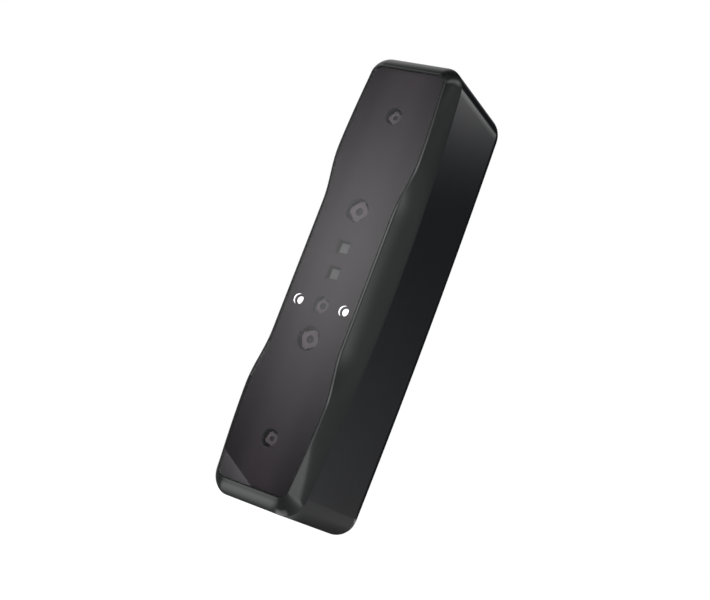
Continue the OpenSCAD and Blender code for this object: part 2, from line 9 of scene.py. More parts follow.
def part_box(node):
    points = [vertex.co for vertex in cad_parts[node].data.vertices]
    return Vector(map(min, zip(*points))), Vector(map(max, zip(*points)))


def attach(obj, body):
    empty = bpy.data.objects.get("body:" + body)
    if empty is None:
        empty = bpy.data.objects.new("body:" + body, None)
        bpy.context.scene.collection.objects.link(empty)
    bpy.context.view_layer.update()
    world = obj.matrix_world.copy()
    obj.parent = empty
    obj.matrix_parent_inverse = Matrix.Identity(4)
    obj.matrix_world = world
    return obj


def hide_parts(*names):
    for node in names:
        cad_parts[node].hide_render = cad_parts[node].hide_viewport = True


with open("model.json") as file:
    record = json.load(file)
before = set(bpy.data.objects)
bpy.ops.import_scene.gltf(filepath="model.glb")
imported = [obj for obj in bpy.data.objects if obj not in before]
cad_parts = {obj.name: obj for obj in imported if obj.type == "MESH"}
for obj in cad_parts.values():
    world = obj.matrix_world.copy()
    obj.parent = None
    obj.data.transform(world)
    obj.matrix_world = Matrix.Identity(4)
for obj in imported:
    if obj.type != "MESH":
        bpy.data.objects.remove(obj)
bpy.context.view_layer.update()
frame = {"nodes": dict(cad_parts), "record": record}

MM = 0.001
HALF_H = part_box("rear_housing")[1].z / 2 / MM      # height of the body's middle over the base, in mm
HALF_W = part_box("rear_housing")[1].x / MM          # half the body's width, in mm
DEPTH = 63.0                                       # from the front rim to the middle of the back, in mm
SHELL = "scanner_body"                             # the body that all the fixed pieces ride on
SHARP, SHARP_CAD, SHARP_TURNED = 28, 25, 35        # angle in degrees from which an edge is shaded as sharp


# ------------------------------------------------------------ frame helpers
def at(x, depth, height):
    """A point from x, the depth behind the front rim and the height over the middle, all in mm."""
    return Vector((x, depth - DEPTH / 2, height + HALF_H)) * MM


def shade_smooth(mesh, angle):
    for face in mesh.polygons:
        face.use_smooth = True
    mesh.set_sharp_from_angle(angle=math.radians(angle))


def finish_mesh(mesh, angle=SHARP):
    mesh.validate()
    shade_smooth(mesh, angle)
    mesh.update()


def face_outwards(mesh):
    bm = bmesh.new()
    bm.from_mesh(mesh)
    bmesh.ops.recalc_face_normals(bm, faces=bm.faces)
    bm.to_mesh(mesh)
    bm.free()


def closed_mesh(name, verts, faces):
    """A mesh of a closed surface, with its faces turned outwards."""
    mesh = bpy.data.meshes.new(name)
    mesh.from_pydata([tuple(v) for v in verts], [], faces)
    face_outwards(mesh)
    return mesh


def link(obj):
    bpy.context.scene.collection.objects.link(obj)
    return obj


def add_object(name, mesh, body=SHELL, angle=SHARP):
    """A new piece that rides on a CAD body."""
    finish_mesh(mesh, angle)
    obj = link(bpy.data.objects.new(name, mesh))
    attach(obj, body)
    return obj


def tube_faces(n, rings, closed=False):
    """The side faces between rings of n points each; closed joins the last ring to the first."""
    faces = []
    for j in range(rings if closed else rings - 1):
        for i in range(n):
            k, b = (i + 1) % n, (j + 1) % rings
            faces.append((j * n + i, j * n + k, b * n + k, b * n + i))
    return faces


# ------------------------------------------------------------ the body's outlines, as in the CAD
SIDE_STEPS, CORNER_STEPS = 96, 14                  # steps along a side and round a corner
WALL, LIP = 2.0, 0.8                               # thickness of a shell, width of the lip round the window
SEAM_MID, SEAM_END = 14.4, 6.1                     # depth of the seam at the body's middle and ends
CORNER_R, BACK_R = 7.3, 11.5                       # radii of the body's corners and of its back edges
BACK_BOW, SIDE_TAPER = 2.2, 2.5                    # how far the back bows and each side tapers
RIM_H, RIM_R = 167.0, 4.0                          # height of the front rim, radius of its corners
WAIST_W, LOBE_W, END_W = 31.6, 36.4, 32.2          # widths of the rim at its waist, lobes and ends
WAIST_H, LOBE_AT = 52.0, 48.0                      # length of the waist, height of the lobes over the middle
PLATE_FRONT, PLATE_BACK = 1.25, 3.25               # the bezel's plate, behind the window
WINDOW_FRONT, WINDOW_BACK = 0.06, 1.06


def rim_half(z):
    """Half the width of the dog-bone rim at a height."""
    up = abs(z)
    waist, lobe_w, end = WAIST_W / 2, LOBE_W / 2, END_W / 2
    if up < WAIST_H / 2:
        return waist
    if up < LOBE_AT:
        turn = math.pi * (up - WAIST_H / 2) / (LOBE_AT - WAIST_H / 2)
        return waist + (lobe_w - waist) * (1 - math.cos(turn)) / 2
    return lobe_w - (lobe_w - end) * min(1, (up - LOBE_AT) / (RIM_H / 2 - LOBE_AT)) ** 1.5


def seam_at(z):
    """The depth of the seam at a height."""
    return SEAM_MID - (SEAM_MID - SEAM_END) * (z / HALF_H) ** 2


def back_at(z):
    """The depth of the back at a height."""
    return DEPTH - BACK_BOW * (z / HALF_H) ** 2


# A list of rungs is the right half of an outline, from its bottom to its top, as (half width, height).
# A ladder gives each rung a depth as well: (half width, depth, height).
def corner(w, l, r, top):
    out = []
    for i in range(CORNER_STEPS + 1):
        a = math.radians(90 * (i if top else CORNER_STEPS - i) / CORNER_STEPS)
        out.append((w - r + r * math.cos(a), (1 if top else -1) * (l - r + r * math.sin(a))))
    return out


def side_heights(l, r):
    return [(l - r) * (2 * i / SIDE_STEPS - 1) for i in range(1, SIDE_STEPS)]


def box_rungs(w, l, r):
    return corner(w, l, r, False) + [(w, z) for z in side_heights(l, r)] + corner(w, l, r, True)


def rim_rungs(inset):
    l, r = RIM_H / 2 - inset, max(RIM_R - inset, 0.6)
    w = rim_half(l - r) - inset
    sides = [(rim_half(z) - inset, z) for z in side_heights(l, r)]
    return corner(w, l, r, False) + sides + corner(w, l, r, True)


def seam_rungs(inset):
    return box_rungs(HALF_W - inset, HALF_H - inset, CORNER_R - inset)


def flat(rungs, d):
    return [(w, d, z) for w, z in rungs]


def on_seam(rungs, extra=0.0):
    return [(w, seam_at(z) + extra, z) for w, z in rungs]


def bowed(a, b, u, out, deep):
    """The ladder a part u of the way from a to b, along curves that bulge as out and deep say."""
    made = []
    for p, q in zip(a, b):
        c = (p[0] + (q[0] - p[0]) * out, p[1] + (q[1] - p[1]) * deep, p[2] + (q[2] - p[2]) * out)
        made.append(tuple((1 - u) ** 2 * p[k] + 2 * u * (1 - u) * c[k] + u * u * q[k] for k in range(3)))
    return made


def back_rungs(inset, turned):
    """The ladder where the back edge's fillet has turned so many degrees: 0 at the side, 90 at the back."""
    turned = math.radians(turned)
    r = BACK_R - inset
    in_by = r * (1 - math.cos(turned))
    w, l = HALF_W - SIDE_TAPER - inset - in_by, HALF_H - inset - in_by
    c = max((CORNER_R - inset) * (1 - 0.75 * (1 - math.cos(turned))), 0.8)
    return [(x, back_at(z) - inset - r * (1 - math.sin(turned)), z) for x, z in box_rungs(w, l, c)]


def loft(name, ladders):
    """A closed mesh through ladders, each mirrored into a ring, with its two ends capped."""
    m = len(ladders[0])
    n = 2 * m
    verts = []
    for ladder in ladders:
        verts += [at(*p) for p in ladder] + [at(-p[0], p[1], p[2]) for p in reversed(ladder)]
    faces = tube_faces(n, len(ladders))
    e = (len(ladders) - 1) * n
    for k in range(m - 1):
        faces.append((k + 1, k, n - 1 - k, n - 2 - k))
        faces.append((e + k, e + k + 1, e + n - 2 - k, e + n - 1 - k))
    return closed_mesh(name, verts, faces)


def slab(name, rungs, front, back, bevel):
    """A flat plate of the given outline, with its front edge bevelled."""
    inner = [(w - bevel, z * (1 - bevel / RIM_H * 2)) for w, z in rungs]
    return loft(name, [flat(inner, front), flat(rungs, front + bevel), flat(rungs, back)])


# ------------------------------------------------------------ materials
BORE_FRONT = 2.9                                   # depth from which a lens barrel's colour is darkened: painted shade down the bore
PLATE_SEEN = (13.5, 79.0)                          # half width and half height of the plate behind the window, where painted light goes
FILM_SHADE_EDGE = (4.0, 13.0)                           # where the film's painted shade starts and stops, off the middle
BLUR = 0.1                                         # width of a material's border, in mm


def new_material(name):
    mat = bpy.data.materials.new(name)
    mat.use_nodes = True
    nt = mat.node_tree
    return mat, nt, nt.nodes["Principled BSDF"]


def node(nt, kind, **values):
    """A new node. in_Some_Name sets the socket "Some Name"; any other name sets a property."""
    n = nt.nodes.new(kind)
    for key, value in values.items():
        if key.startswith("in_"):
            n.inputs[key[3:].replace("_", " ")].default_value = value
        else:
            setattr(n, key, value)
    return n


def ramp(nt, source, stops):
    """A colour ramp through (position, grey level or colour) stops."""
    r = nt.nodes.new("ShaderNodeValToRGB")
    r.color_ramp.elements[0].position = stops[0][0]
    r.color_ramp.elements[1].position = stops[-1][0]
    for pos, _ in stops[1:-1]:
        r.color_ramp.elements.new(pos)
    for e, (_, c) in zip(r.color_ramp.elements, stops):
        e.color = (c, c, c, 1) if isinstance(c, float) else (*c, 1)
    nt.links.new(source, r.inputs["Fac"])
    return r.outputs["Color"]


def times(nt, shade, factor):
    """A colour multiplied by a factor."""
    m = node(nt, "ShaderNodeMix", data_type="RGBA", blend_type="MULTIPLY")
    m.inputs[0].default_value = 1.0
    nt.links.new(shade, m.inputs[6])
    nt.links.new(factor, m.inputs[7])
    return m.outputs[2]


def math_of(nt, operation, *values):
    """A math node's output; each value is a number or a socket."""
    m = node(nt, "ShaderNodeMath", operation=operation)
    for socket, value in zip(m.inputs, values):
        if isinstance(value, (int, float)):
            socket.default_value = value
        else:
            nt.links.new(value, socket)
    return m.outputs[0]


def ranged(nt, value, start, end, low, high, kind="LINEAR"):
    """Goes from low to high as the value goes from start to end, which are in mm."""
    m = node(nt, "ShaderNodeMapRange", interpolation_type=kind, in_From_Min=start * MM,
             in_From_Max=end * MM, in_To_Min=low, in_To_Max=high)
    nt.links.new(value, m.inputs["Value"])
    return m.outputs["Result"]


def axis_of(nt, where, axis):
    parts = node(nt, "ShaderNodeSeparateXYZ")
    nt.links.new(where, parts.inputs[0])
    return parts.outputs[axis]


def off_middle(nt, where, axis, middle=0.0):
    """The distance from the body's middle along one axis."""
    return math_of(nt, "ABSOLUTE", math_of(nt, "SUBTRACT", axis_of(nt, where, axis), middle))


def painted_bore_shade(nt, where, shade):
    """Painted shade: barrels are darkened to a twenty-fifth of their colour behind their front faces, down in
    the bores.
    """
    front = at(0, BORE_FRONT, 0).y / MM
    return times(nt, shade, ranged(nt, axis_of(nt, where, "Y"), front, front + BLUR, 1.0, 0.04))


def painted_plate_light(nt, where, shade):
    """Painted light: the plate behind the window, seen in its bores, is made four times lighter than the
    bezel round it, for the light on its walls.
    """
    w, h = PLATE_SEEN
    across = ranged(nt, off_middle(nt, where, "X"), w, w + BLUR, 4.0, 1.0)
    along = ranged(nt, off_middle(nt, where, "Z", HALF_H * MM), h, h + BLUR, 4.0, 1.0)
    return times(nt, shade, math_of(nt, "MINIMUM", across, along))


def painted_film_shade(nt, where, shade):
    """Painted shade: the film behind the window is darkened to half towards its long edges."""
    return times(nt, shade, ranged(nt, off_middle(nt, where, "X"), *FILM_SHADE_EDGE, 1.0, 0.5, "SMOOTHSTEP"))


def surface(name, color, rough, grain=2600.0, bump=0.05, vary=0.12, rough_vary=0.06, metal=0.0,
            coat=0.0, coat_rough=0.1, wear=0.25, brushed=None, shaded=None):
    """Moulded plastic, paint or metal: mottled colour, fine grain, uneven gloss and lighter worn edges."""
    mat, nt, b = new_material(name)
    b.inputs["Metallic"].default_value = metal
    b.inputs["Coat Weight"].default_value = coat
    b.inputs["Coat Roughness"].default_value = coat_rough
    coord = node(nt, "ShaderNodeTexCoord")
    where = coord.outputs["Object"]
    if brushed:
        stretch = node(nt, "ShaderNodeMapping")
        stretch.inputs["Scale"].default_value = brushed
        nt.links.new(where, stretch.inputs["Vector"])
        where = stretch.outputs["Vector"]
    cloud = node(nt, "ShaderNodeTexNoise", in_Scale=70.0, in_Detail=4.0, in_Roughness=0.6)
    nt.links.new(coord.outputs["Object"], cloud.inputs["Vector"])
    fine = node(nt, "ShaderNodeTexNoise", in_Scale=grain, in_Detail=2.0, in_Roughness=0.6)
    nt.links.new(where, fine.inputs["Vector"])
    dark = [c * (1 - vary) for c in color]
    light = [min(1.0, c * (1 + vary)) for c in color]
    tone = ramp(nt, cloud.outputs["Fac"], [(0.3, tuple(dark)), (0.7, tuple(light))])
    edge = node(nt, "ShaderNodeNewGeometry")
    worn = ramp(nt, edge.outputs["Pointiness"], [(0.52, 0.0), (0.62, wear)])
    mix = node(nt, "ShaderNodeMix", data_type="RGBA")
    nt.links.new(worn, mix.inputs[0])
    nt.links.new(tone, mix.inputs[6])
    mix.inputs[7].default_value = (*[min(1.0, c * 1.8 + 0.02) for c in color], 1)
    shade = mix.outputs[2]
    if shaded:
        shade = shaded(nt, coord.outputs["Object"], shade)
    nt.links.new(shade, b.inputs["Base Color"])
    smooth, dull = max(0.02, rough - rough_vary), rough + rough_vary
    gloss = ramp(nt, cloud.outputs["Fac"], [(0.25, smooth), (0.75, dull)])
    nt.links.new(gloss, b.inputs["Roughness"])
    bumps = node(nt, "ShaderNodeBump", in_Strength=bump, in_Distance=0.00003)
    nt.links.new(fine.outputs["Fac"], bumps.inputs["Height"])
    nt.links.new(bumps.outputs["Normal"], b.inputs["Normal"])
    return mat


def glass(name, tint):
    """Clear tinted plastic, polished, and a little uneven in its tint."""
    mat, nt, b = new_material(name)
    b.inputs["Transmission Weight"].default_value = 1.0
    b.inputs["Roughness"].default_value = 0.0
    b.inputs["IOR"].default_value = 1.5
    coord = node(nt, "ShaderNodeTexCoord")
    cloud = node(nt, "ShaderNodeTexNoise", in_Scale=45.0, in_Detail=5.0)
    nt.links.new(coord.outputs["Object"], cloud.inputs["Vector"])
    deep, pale = [tuple(c * k for c in tint) for k in (0.97, 1.03)]
    nt.links.new(ramp(nt, cloud.outputs["Fac"], [(0.3, deep), (0.7, pale)]), b.inputs["Base Color"])
    return mat


def glow(name, color, strength):
    """A lit emitter under a frosted lens, a little uneven in its light and its gloss."""
    mat, nt, b = new_material(name)
    b.inputs["Base Color"].default_value = (0.9, 0.9, 0.9, 1)
    b.inputs["Emission Color"].default_value = (*color, 1)
    coord = node(nt, "ShaderNodeTexCoord")
    cloud = node(nt, "ShaderNodeTexNoise", in_Scale=900.0, in_Detail=2.0)
    nt.links.new(coord.outputs["Object"], cloud.inputs["Vector"])
    power = node(nt, "ShaderNodeMapRange", in_To_Min=strength * 0.9, in_To_Max=strength * 1.1)
    nt.links.new(cloud.outputs["Fac"], power.inputs["Value"])
    nt.links.new(power.outputs["Result"], b.inputs["Emission Strength"])
    nt.links.new(ramp(nt, cloud.outputs["Fac"], [(0.3, 0.25), (0.7, 0.4)]), b.inputs["Roughness"])
    return mat


SURFACES = {
    # the plate behind the window takes painted light on the walls of its bores
    "bezel_plastic": dict(color=(0.010, 0.012, 0.0115), rough=0.17, grain=1800, bump=0.02, vary=0.06,
                          rough_vary=0.02, wear=0.10, shaded=painted_plate_light),
    "housing_plastic": dict(color=(0.0072, 0.0077, 0.0096), rough=0.10, grain=1800, bump=0.02, vary=0.06,
                            rough_vary=0.02, wear=0.10),
    # the film takes painted shade towards its long edges
    "black_film": dict(color=(0.070, 0.058, 0.068), rough=0.6, grain=600, bump=0.002, vary=0.015, wear=0.0,
                       shaded=painted_film_shade),
    "seal_rubber": dict(color=(0.012, 0.012, 0.012), rough=0.7, grain=1800, bump=0.2),
    "panel_plastic": dict(color=(0.006, 0.006, 0.007), rough=0.08, grain=900, bump=0.01, rough_vary=0.03,
                          coat=0.6, coat_rough=0.04, wear=0.08),
    "button_plastic": dict(color=(0.022, 0.022, 0.024), rough=0.42, grain=3600, bump=0.14, wear=0.35),
    "plunger_plastic": dict(color=(0.62, 0.61, 0.56), rough=0.5),
    "switch_metal": dict(color=(0.60, 0.61, 0.63), rough=0.32, metal=1.0, brushed=(1, 1, 30), grain=900),
    "circuit_board": dict(color=(0.010, 0.050, 0.026), rough=0.35, grain=1500, bump=0.12, vary=0.25,
                          coat=0.3),
    "screw_steel": dict(color=(0.48, 0.48, 0.50), rough=0.3, metal=1.0, brushed=(30, 1, 1), grain=900),
    "led_body": dict(color=(0.75, 0.72, 0.55), rough=0.3),
    "insert_brass": dict(color=(0.62, 0.44, 0.18), rough=0.28, metal=1.0, brushed=(1, 1, 40), grain=700,
                         bump=0.2, wear=0.4),
    "port_steel": dict(color=(0.58, 0.58, 0.60), rough=0.25, metal=1.0, brushed=(1, 1, 25), grain=900),
    "tongue_plastic": dict(color=(0.02, 0.02, 0.02), rough=0.45),
    "chassis_aluminium": dict(color=(0.50, 0.51, 0.53), rough=0.38, metal=1.0, grain=2400, bump=0.15),
    "sink_aluminium": dict(color=(0.52, 0.53, 0.55), rough=0.33, metal=1.0, brushed=(1, 1, 30), grain=900),
    "chip_plastic": dict(color=(0.02, 0.02, 0.022), rough=0.5, grain=2600, bump=0.12),
    "thermal_rubber": dict(color=(0.22, 0.28, 0.40), rough=0.75, grain=1500, bump=0.2),
    # the barrels take painted shade behind their front faces
    "barrel_metal": dict(color=(0.235, 0.21, 0.23), rough=0.5, grain=3000, bump=0.05, vary=0.06,
                         shaded=painted_bore_shade),
    "holder_plastic": dict(color=(0.015, 0.015, 0.015), rough=0.5),
    "projector_metal": dict(color=(0.015, 0.015, 0.016), rough=0.5),
    "projector_glass": dict(color=(0.25, 0.27, 0.26), rough=0.3, grain=2500, bump=0.03, vary=0.05),
    "flex_film": dict(color=(0.40, 0.20, 0.03), rough=0.3, brushed=(60, 1, 1), grain=300, bump=0.1),
    "lens_glass": dict(color=(0.070, 0.068, 0.082), rough=0.06, grain=400, bump=0.0, coat=1.0,
                       coat_rough=0.02, wear=0.0, rough_vary=0.02),
    "light_guide": dict(color=(0.50, 0.56, 0.55), rough=0.3, grain=2500, bump=0.03, vary=0.05, wear=0.0),
}
FINISHES = {name: surface(name, **look) for name, look in SURFACES.items()}
FINISHES["tinted_glass"] = glass("tinted_glass", (0.50, 0.48, 0.50))
FINISHES["white_light"] = glow("white_light", (1.0, 1.0, 1.0), 2.4)


def paint(obj, slot):
    obj.data.materials.clear()
    obj.data.materials.append(FINISHES[slot])


for part in frame["record"]["subparts"]:
    obj = frame["nodes"][part["node"]]
    paint(obj, part["material_slot"])
    shade_smooth(obj.data, SHARP_CAD)


def dress(obj, slot, *replaced):
    """Gives a piece its finish, and the CAD nodes that it stands for."""
    paint(obj, slot)
    if replaced:
        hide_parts(*replaced)
    return obj


# ------------------------------------------------------------ booleans
def cut(obj, cutters):
    """Takes the cutters out of obj, and removes them."""
    for c in cutters:
        mod = obj.modifiers.new("cut", "BOOLEAN")
        mod.operation = "DIFFERENCE"
        mod.solver = "EXACT"
        mod.object = c
    dg = bpy.context.evaluated_depsgraph_get()
    mesh = bpy.data.meshes.new_from_object(obj.evaluated_get(dg))
    obj.modifiers.clear()
    obj.data = mesh
    finish_mesh(mesh)
    for c in cutters:
        bpy.data.objects.remove(c)


def prism(outline, start, end, chamfer=0.0, upright=False):
    """A cutter of the given outline, along the depth or upright, that opens out by chamfer at its end."""
    levels = [(start, 0.0), (end - chamfer, 0.0), (end, chamfer)] if chamfer else [(start, 0.0), (end, 0.0)]
    n = len(outline)
    cx = sum(p[0] for p in outline) / n
    cz = sum(p[1] for p in outline) / n
    verts = []
    for level, grow in levels:
        for x, z in outline:
            r = math.hypot(x - cx, z - cz)
            gx, gz = x + (x - cx) / r * grow, z + (z - cz) / r * grow
            verts.append(at(gx, gz, level) if upright else at(gx, level, gz))
    faces = [tuple(range(n - 1, -1, -1)), tuple(range(n * (len(levels) - 1), n * len(levels)))]
    mesh = closed_mesh("cutter", verts, faces + tube_faces(n, len(levels)))
    return link(bpy.data.objects.new("cutter", mesh))


def rounded(cx, cz, w, h, r, steps=10):
    """The outline of a rectangle with rounded corners."""
    out = []
    for k, (sx, sz) in enumerate(((1, 1), (-1, 1), (-1, -1), (1, -1))):
        for i in range(steps + 1):
            a = math.radians(90 * k + 90 * i / steps)
            out.append((cx + sx * (w / 2 - r) + r * math.cos(a), cz + sz * (h / 2 - r) + r * math.sin(a)))
    return out


def circle(cx, cz, r, steps=48):
    return [(cx + r * math.cos(2 * math.pi * i / steps), cz + r * math.sin(2 * math.pi * i / steps))
            for i in range(steps)]


# ------------------------------------------------------------ the shells
RIM_CHAMFER, LIP_CHAMFER = 0.35, 0.03              # bevels on the outside of the rim and round the window
BEZEL_BULGE, HOUSING_BULGE = (0.8, 0.45), (0.5, 0.5)
SEAM_IN, SEAM_LAP = 0.25, 0.8                      # how deep the seam's groove and the shells' lap are
BEZEL_STEPS, INNER_STEPS, FILLET_STEPS = 16, 4, 18
SENSOR_GAP, PAST = 0.3, 1.0                        # clearance round a sensor, how far a cutter stands out


def bezel_mesh():
    """The front shell: recess, lip, rim, the sides that swell to the seam, and the inside."""
    lip = [flat(rim_rungs(LIP), PLATE_FRONT), flat(rim_rungs(LIP), LIP_CHAMFER),
           flat(rim_rungs(LIP - LIP_CHAMFER), 0.0), flat(rim_rungs(0.44), 0.0), flat(rim_rungs(0.02), 0.333)]
    rim, seam = flat(rim_rungs(0), RIM_CHAMFER), on_seam(seam_rungs(0), -0.1)
    outside = [bowed(rim, seam, i / BEZEL_STEPS, *BEZEL_BULGE) for i in range(BEZEL_STEPS + 1)]
    plate, edge = flat(rim_rungs(WALL + 0.3), PLATE_BACK), on_seam(seam_rungs(WALL))
    inside = [bowed(plate, edge, i / INNER_STEPS, *BEZEL_BULGE) for i in range(INNER_STEPS, -1, -1)]
    return loft("bezel_shell", lip + outside + [on_seam(seam_rungs(SEAM_IN))] + inside)


def housing_mesh():
    """The back shell: the inside, the step for the gasket, the seam, the sides and the rounded back."""
    inside = [back_rungs(WALL, 90 * i / 6) for i in range(6, -1, -1)]
    step = [on_seam(seam_rungs(inset), deep) for inset, deep in (
        (WALL, SEAM_LAP), (1.0, SEAM_LAP), (1.0, 0.05), (SEAM_IN, 0.05), (0.06, 0.1), (0, 0.3), (0, 0.45))]
    sides = [bowed(step[-1], back_rungs(0, 0), u, *HOUSING_BULGE) for u in (0.01, 0.2, 0.4, 0.6, 0.8, 0.98)]
    back = [back_rungs(0, 90 * i / FILLET_STEPS) for i in range(FILLET_STEPS + 1)]
    return loft("housing_shell", inside + step + sides + back)


# sensor: height, radius of the barrel's face, of its body, and of the opening in the window's print
SENSORS = {"far_upper": (64.0, 2.3, 3.1, 3.4), "near_upper": (25.5, 3.4, 4.2, 4.7),
           "near_lower": (-25.5, 3.4, 4.2, 4.7), "far_lower": (-64.0, 2.3, 3.1, 3.4),
           "color": (-12.4, 2.55, 2.9, 3.3)}
PROJECTOR_HEIGHTS, PROJECTOR_W = (10.6, 0.3), 5.2
LIGHT_X, LIGHT_Z, LIGHT_R = 10.1, -12.4, 2.1
BORES = (0.5, 5.0)

bezel = add_object("bezel_shell", bezel_mesh())
projector_w = PROJECTOR_W + 2 * SENSOR_GAP
cut(bezel, [prism(circle(0, z, r + SENSOR_GAP, 64), *BORES) for z, _, _, r in SENSORS.values()]
    + [prism(rounded(0, z, projector_w, projector_w, 0.3), *BORES) for z in PROJECTOR_HEIGHTS]
    + [prism(circle(x, LIGHT_Z, LIGHT_R + SENSOR_GAP), *BORES) for x in (-LIGHT_X, LIGHT_X)])
dress(bezel, "bezel_plastic", "front_bezel")

PANEL_Z, PANEL_BACK, PANEL_FACE = 10.0, 61.2, 62.4
PORT_D, INSERT_D, INSERT_R = 27.25, 41.5, 4.6

housing = add_object("housing_shell", housing_mesh())
cut(housing, [
    prism(rounded(0, PANEL_Z, 15, 62, 7.49, 16), PANEL_BACK, DEPTH + 7),
    prism(rounded(0, PORT_D, 13, 7.4, 1.2), -HALF_H - PAST, -HALF_H + 5, upright=True),
    prism(rounded(0, PORT_D, 9.24, 3.56, 1.77, 12), -HALF_H + 4, -HALF_H + 9, upright=True),
    prism(circle(0, INSERT_D, INSERT_R), -HALF_H - PAST, -HALF_H + 3, upright=True),
])
dress(housing, "housing_plastic", "rear_housing")

window = slab("window_plate", rim_rungs(LIP + 0.08), WINDOW_FRONT, WINDOW_BACK, 0.03)
window = dress(add_object("window_plate", window), "tinted_glass", "front_window")
window.visible_shadow = False
window.visible_diffuse = False


# ------------------------------------------------------------ sensors
def revolve(name, profile, centre, steps=96, closed=False, outline=None):
    """A piece turned about the depth axis, through (radius, depth) points from one end to the other.

    outline(angle) is added to the radius of a point that has a third item, True. A closed profile makes
    a ring; the ends of any other are capped.
    """
    verts = []
    for r, d, *shaped in profile:
        for i in range(steps):
            a = 2 * math.pi * i / steps
            reach = r + (outline(a) if shaped else 0)
            verts.append(at(centre[0] + reach * math.cos(a), d, centre[1] + reach * math.sin(a)))
    faces = tube_faces(steps, len(profile), closed)
    if not closed:
        last = (len(profile) - 1) * steps
        faces += [tuple(range(steps)), tuple(range(last + steps - 1, last - 1, -1))]
    return closed_mesh(name, verts, faces)


def lugs(count, turned, out, half_width=0.38, flank=0.06):
    """The outline of a lens barrel's face: count lugs that stand out from a plain circle."""
    def outline(a):
        pitch = 2 * math.pi / count
        off = abs((a - math.radians(turned) + pitch / 2) % pitch - pitch / 2)
        return out * min(1.0, max(0.0, (half_width - off) / flank + 0.5))
    return outline


LENS_DEPTH, BARREL_END = 2.75, 14.5
PUPIL_DEPTH, NECK = 0.7, 1.7                       # behind the face: back of the pupil, end of the neck
LENS_BULGE = 0.33
# barrel: radius of its pupil, number of lugs and the angle that they are turned by
BARRELS = {"far_upper": (0.95, 4, 10), "near_upper": (1.5, 4, 0), "near_lower": (1.5, 4, -20),
           "far_lower": (0.95, 4, 30), "color": (1.25, 2, 95)}


def barrel_mesh(name, z, face, body, pupil, count, turned):
    d = LENS_DEPTH
    mouth = [(pupil, d + PUPIL_DEPTH), (pupil, d + 0.14), (pupil + 0.12, d)]
    front = [(face - 0.15, d, True), (face, d + 0.12, True), (face, d + NECK - 0.1, True)]
    outside = [(body - 0.1, d + NECK - 0.1), (body, d + NECK), (body, BARREL_END)]
    inside = [(pupil, BARREL_END), (pupil, d + NECK), (pupil * 1.5, d + NECK), (pupil * 1.5, d + PUPIL_DEPTH)]
    return revolve(name, mouth + front + outside + inside, (0, z), 200, closed=True,
                   outline=lugs(count, turned, face * 0.2))


def lens_mesh(name, z, r):
    d = LENS_DEPTH + PUPIL_DEPTH + 0.05
    dome = [(r * k, d - LENS_BULGE * (1 - k * k)) for k in (0.15, 0.3, 0.45, 0.6, 0.75, 0.9, 1.0)]
    return revolve(name, [(0.02, d - LENS_BULGE)] + dome + [(r, LENS_DEPTH + 1.65)], (0, z))


for key, (z, face, body, _) in SENSORS.items():
    pupil, count, turned = BARRELS[key]
    barrel = barrel_mesh(key + "_barrel_turned", z, face, body, pupil, count, turned)
    dress(add_object(key + "_barrel_turned", barrel, angle=SHARP_TURNED), "barrel_metal", key + "_barrel")
    lens = lens_mesh(key + "_lens_ground", z, pupil * 1.45)
    dress(add_object(key + "_lens_ground", lens, angle=SHARP_TURNED), "lens_glass", key + "_lens")

GUIDE_R, GUIDE_BULGE, GUIDE_FACE, GUIDE_BACK = 1.4, 0.25, 2.85, 7.8
COLLAR_R, COLLAR_WALL, COLLAR_DEPTHS = 2.14, 0.22, (1.3, 2.0)

for key, x in (("left_light", -LIGHT_X), ("right_light", LIGHT_X)):
    centre = (x, LIGHT_Z)
    dome = [(GUIDE_R * k, GUIDE_FACE - GUIDE_BULGE * (1 - k * k)) for k in (0.2, 0.4, 0.6, 0.8, 1.0)]
    rod = [(GUIDE_R + 0.05, GUIDE_FACE + 0.1), (GUIDE_R + 0.05, GUIDE_BACK)]
    guide = revolve(key + "_guide", [(0.02, GUIDE_FACE - GUIDE_BULGE)] + dome + rod, centre)
    dress(add_object(key + "_guide", guide, angle=SHARP_TURNED), "white_light", key)
    # painted light: a glowing collar lines the opening round each light, where its wall is lit
    front, back = COLLAR_DEPTHS
    inner, outer = COLLAR_R, COLLAR_R + COLLAR_WALL
    section = [(inner, front), (inner, back), (outer, back), (outer, front)]
    collar = revolve(key + "_collar", section, centre, closed=True)
    dress(add_object(key + "_collar", collar, angle=SHARP_TURNED), "white_light")


# ------------------------------------------------------------ controls on the back
SCAN_Z, PITCH, INDICATOR_Z, INDICATOR_PITCH, INDICATOR_R = 6.0, 15.0, 33.0, 2.2, 0.7
INDICATORS = [INDICATOR_PITCH * i for i in range(-2, 3)]
CAP_FACE, DISH, DISH_EDGE = 62.9, 0.35, 0.88       # depth of a cap's edge, its dish and the dish's part of it
OPENINGS = (60.8, PANEL_FACE + 0.05)
# button: height and radius
BUTTONS = {"scan": (SCAN_Z, 5.5), "plus": (SCAN_Z + PITCH, 4.2), "minus": (SCAN_Z - PITCH, 4.2)}

panel = loft("panel_plate", [flat([(w, PANEL_Z + z) for w, z in box_rungs(7.4 - k, 30.9 - k, 7.35 - k)], d)
                             for k, d in ((0, PANEL_BACK), (0, PANEL_FACE - 0.2), (0.2, PANEL_FACE))])
panel = add_object("panel_plate", panel)
cut(panel, [prism(circle(0, z, r + 0.2, 72), *OPENINGS, 0.25) for z, r in BUTTONS.values()]
    + [prism(circle(x, INDICATOR_Z, INDICATOR_R + 0.05, 32), *OPENINGS, 0.12) for x in INDICATORS])
dress(panel, "panel_plastic", "control_panel")


def dish_at(off, r):
    """The depth of a button's dished face at a distance off its centre."""
    return CAP_FACE - DISH * (1 - (off / r / DISH_EDGE) ** 2)


